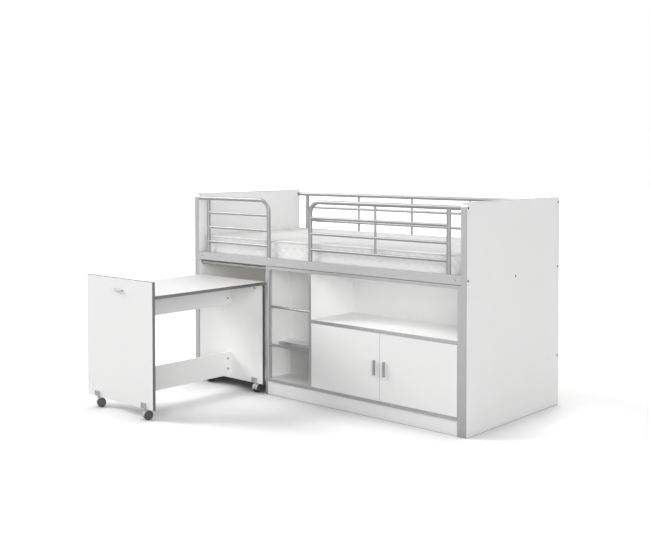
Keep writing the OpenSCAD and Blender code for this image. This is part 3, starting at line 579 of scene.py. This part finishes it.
def cover_form():
    """The closed cover before it is filled out: a crowned grid on top, tiers down the border,
    and a flat grid on the underside."""
    grid_s, grid_t = np.meshgrid(
        np.linspace(-1, 1, COLUMNS + 1), np.linspace(-1, 1, ROWS + 1), indexing="ij")
    x, y = outline(grid_s, grid_t, SEAM_INSET)
    to_end, to_side = (1 - np.abs(grid_s)) * HALF_LENGTH, (1 - np.abs(grid_t)) * HALF_WIDTH
    inward = to_end * to_side / np.maximum(np.hypot(to_end, to_side), 1e-9)
    shoulder = 0.60 * (1 - np.exp(-inward / SHOULDER))
    swell = 0.40 * np.sin(np.minimum(inward / CROWN_REACH, 1) * math.pi / 2)
    z = UPPER_SEAM + CROWN * (shoulder + swell)
    top = np.stack([x, y, z], axis=-1).reshape(-1, 3)
    index = np.arange(len(top)).reshape(grid_s.shape)
    around = np.concatenate([index[:-1, 0], index[-1, :-1], index[:0:-1, -1], index[0, :0:-1]])
    s, t = grid_s.reshape(-1)[around], grid_t.reshape(-1)[around]
    n = len(around)
    down = np.arange(1, TIERS + 1) / TIERS
    tiers = [
        (SEAM_INSET + BORDER_HOLLOW * math.sin(math.pi * d),
         UPPER_SEAM + (LOWER_SEAM - UPPER_SEAM) * d)
        for d in down
    ]
    rings = [top]
    for inset, height in tiers + [(FOOT_INSET, FOOT_HEIGHT)]:
        rings.append(np.stack([*outline(s, t, inset), np.full(n, height)], axis=-1))
    under_x, under_y = outline(grid_s, grid_t, UNDER_INSET)
    rings.append(np.stack([under_x, under_y, 0 * under_x], axis=-1).reshape(-1, 3))
    points = np.concatenate(rings)
    under = index + len(points) - len(top)
    quads = [
        np.stack([index[:-1, :-1], index[1:, :-1], index[1:, 1:], index[:-1, 1:]], -1).reshape(-1, 4),
        np.stack([under[:-1, :-1], under[:-1, 1:], under[1:, 1:], under[1:, :-1]], -1).reshape(-1, 4),
    ]
    steps = [around] + [len(top) + k * n + np.arange(n) for k in range(len(tiers) + 1)]
    steps.append(under.reshape(-1)[around])
    for upper, lower in zip(steps, steps[1:]):
        quads.append(np.stack([upper, lower, np.roll(lower, -1), np.roll(upper, -1)], -1))
    return points, np.concatenate(quads).tolist()


def read_points(mesh):
    """A mesh's points as an array."""
    points = np.empty(len(mesh.vertices) * 3)
    mesh.vertices.foreach_get("co", points)
    return points.reshape(-1, 3)


def final_mesh(piece):
    """The piece's mesh with its modifiers applied, and the piece left without them."""
    depsgraph = bpy.context.evaluated_depsgraph_get()
    mesh = bpy.data.meshes.new_from_object(piece.evaluated_get(depsgraph))
    piece.modifiers.clear()
    return mesh


def fill_out(piece, held, half_held, pressure, most):
    """Cloth under inner pressure for a few frames, held at the stitches. No point ends
    farther than most from its start."""
    start = read_points(piece.data)
    stitches = piece.vertex_groups.new(name="stitches")
    stitches.add(np.flatnonzero(half_held).tolist(), 0.5, "REPLACE")
    stitches.add(np.flatnonzero(held).tolist(), 1.0, "REPLACE")
    cloth = piece.modifiers.new("cloth", "CLOTH")
    cloth.settings.vertex_group_mass = "stitches"
    cloth.settings.use_pressure = True
    cloth.settings.uniform_pressure_force = pressure
    cloth.settings.effector_weights.gravity = 0.0
    cloth.point_cache.frame_start = 1
    cloth.point_cache.frame_end = FILL_FRAMES
    for number in range(1, FILL_FRAMES + 1):
        scene.frame_set(number)
    filled = read_points(final_mesh(piece)) - start
    scene.frame_set(1)
    piece.vertex_groups.clear()
    way = np.linalg.norm(filled, axis=1, keepdims=True)
    filled *= np.minimum(1, most / np.maximum(way, 1e-9))
    piece.data.vertices.foreach_set("co", (start + filled).reshape(-1))
    piece.data.update()


def press_stitches(mesh, depth, width):
    """Presses a groove along every stitched line: depth * exp(-(distance / width)^2), inwards."""
    points = read_points(mesh)
    x, y, z = points.T
    normals = np.empty(len(points) * 3)
    mesh.vertex_normals.foreach_get("vector", normals)
    groove = depth * np.exp(-((to_stitches(x, y, z) / width) ** 2)) * (z > LOWER_SEAM)
    points -= groove[:, None] * normals.reshape(-1, 3)
    mesh.vertices.foreach_set("co", points.reshape(-1))
    mesh.update()


def make_cover():
    """The cover: filled out, made smoother, its stitches pressed in, then put in its place."""
    points, faces = cover_form()
    mesh = bpy.data.meshes.new("mattress_cover")
    mesh.from_pydata(points, [], faces)
    cover = bpy.data.objects.new("mattress_cover", mesh)
    scene.collection.objects.link(cover)
    x, y, z = points.T
    off = to_stitches(x, y, z)
    seams = (np.abs(z - UPPER_SEAM) < SEAM_SLACK) | (z < LOWER_SEAM + SEAM_SLACK)
    fill_out(cover, seams | (off < HELD_NEAR), off < HALF_HELD_NEAR, pressure=24.0, most=0.007)
    smoother = cover.modifiers.new("smoother", "SUBSURF")
    smoother.levels = smoother.render_levels = 1
    smooth = final_mesh(cover)
    press_stitches(smooth, depth=0.0014, width=0.0040)
    smooth.transform(Matrix.Translation((MATTRESS_MID[0], MATTRESS_MID[1], MATTRESS_LOW[2])))
    smooth.shade_smooth()
    cover.data = smooth
    return cover


def make_piping():
    """A round cord along both seams: the outline, plus r * cos(a) outwards and r * sin(a) up."""
    along_s = np.linspace(-1, 1, PIPING_LONG, endpoint=False)
    along_t = np.linspace(-1, 1, PIPING_SHORT, endpoint=False)
    at_side, at_end = np.ones(PIPING_LONG), np.ones(PIPING_SHORT)
    s = np.concatenate([along_s, at_end, -along_s, -at_end])
    t = np.concatenate([-at_side, along_t, at_side, -along_t])
    x, y = outline(s, t, SEAM_INSET)
    along = np.stack([np.roll(x, -1) - np.roll(x, 1), np.roll(y, -1) - np.roll(y, 1)])
    along /= np.linalg.norm(along, axis=0)
    angle = np.linspace(0, 2 * math.pi, PIPING_ROUND, endpoint=False)[:, None]
    n, m = len(x), len(angle)
    corner, turn = np.meshgrid(np.arange(n), np.arange(m))
    here, there = turn * n + corner, turn * n + (corner + 1) % n
    above = (turn + 1) % m * n + corner
    over_there = (turn + 1) % m * n + (corner + 1) % n
    loops, faces = [], []
    for k, height in enumerate((LOWER_SEAM, UPPER_SEAM)):
        loops.append(np.stack([
            x + SEAM_INSET * np.cos(angle) * along[1],
            y - SEAM_INSET * np.cos(angle) * along[0],
            height + SEAM_INSET * np.sin(angle) * np.ones(n),
        ], axis=-1).reshape(-1, 3))
        faces.append(k * n * m + np.stack([here, there, over_there, above], axis=-1).reshape(-1, 4))
    mesh = bpy.data.meshes.new("mattress_piping")
    mesh.from_pydata(np.concatenate(loops), [], np.concatenate(faces).tolist())
    mesh.transform(Matrix.Translation((MATTRESS_MID[0], MATTRESS_MID[1], MATTRESS_LOW[2])))
    mesh.shade_smooth()
    piping = bpy.data.objects.new("mattress_piping", mesh)
    scene.collection.objects.link(piping)
    return piping


def damask(name, figured):
    """White ticking: soft woven figures in tone and relief over a fine crossed weave. The figured
    cloth is coloured darker above the upper seam than below it, a painted shade on the top."""
    material, tree, shader = blank_finish(name, 0.80)
    shader.inputs["Sheen Weight"].default_value = 0.05
    shader.inputs["Sheen Roughness"].default_value = 0.5
    place = tree.nodes.new("ShaderNodeTexCoord")
    figures = tree.nodes.new("ShaderNodeTexWave")
    figures.wave_type = "RINGS"
    figures.rings_direction = "SPHERICAL"
    figures.inputs["Scale"].default_value = 9.0
    figures.inputs["Distortion"].default_value = 14.0
    figures.inputs["Detail"].default_value = 1.0
    figures.inputs["Detail Scale"].default_value = 3.0
    tree.links.new(place.outputs["Object"], figures.inputs["Vector"])
    # Painted shade: the figured cloth's top is coloured darker than its border.
    if figured:
        split = tree.nodes.new("ShaderNodeSeparateXYZ")
        top_shade_by_height = tree.nodes.new("ShaderNodeMapRange")
        top_shade_by_height.inputs["From Min"].default_value = MATTRESS_LOW[2] + UPPER_SEAM - 0.004
        top_shade_by_height.inputs["From Max"].default_value = MATTRESS_LOW[2] + UPPER_SEAM + 0.004
        top_shade_by_height.inputs["To Min"].default_value = 0.66
        top_shade_by_height.inputs["To Max"].default_value = 0.30
        figures_and_top_shade = tree.nodes.new("ShaderNodeMath")
        figures_and_top_shade.operation = "MULTIPLY_ADD"
        figures_and_top_shade.inputs[1].default_value = 0.05
        tree.links.new(place.outputs["Object"], split.inputs[0])
        tree.links.new(split.outputs["Z"], top_shade_by_height.inputs["Value"])
        tree.links.new(figures.outputs["Fac"], figures_and_top_shade.inputs[0])
        tree.links.new(top_shade_by_height.outputs["Result"], figures_and_top_shade.inputs[2])
        tone(tree, shader, figures_and_top_shade.outputs[0], (0.785, 0.785, 0.78), 0.080)
    else:
        tone(tree, shader, figures.outputs["Fac"], (0.84, 0.84, 0.835), 0.004)
    weave = tree.nodes.new("ShaderNodeTexChecker")
    weave.inputs["Scale"].default_value = 900.0
    tree.links.new(place.outputs["Object"], weave.inputs["Vector"])
    both = tree.nodes.new("ShaderNodeMath")
    both.operation = "MULTIPLY_ADD"
    both.inputs[1].default_value = 0.25
    tree.links.new(weave.outputs["Fac"], both.inputs[0])
    tree.links.new(figures.outputs["Fac"], both.inputs[2])
    relief(tree, shader, both.outputs[0], 0.00025 if figured else 0.0001)
    return material


cover = make_cover()
cover.data.materials.append(damask("white_damask", True))
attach(cover, "bed")
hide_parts("mattress")

piping = make_piping()
piping.data.materials.append(damask("white_piping_tape", False))
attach(piping, "bed")
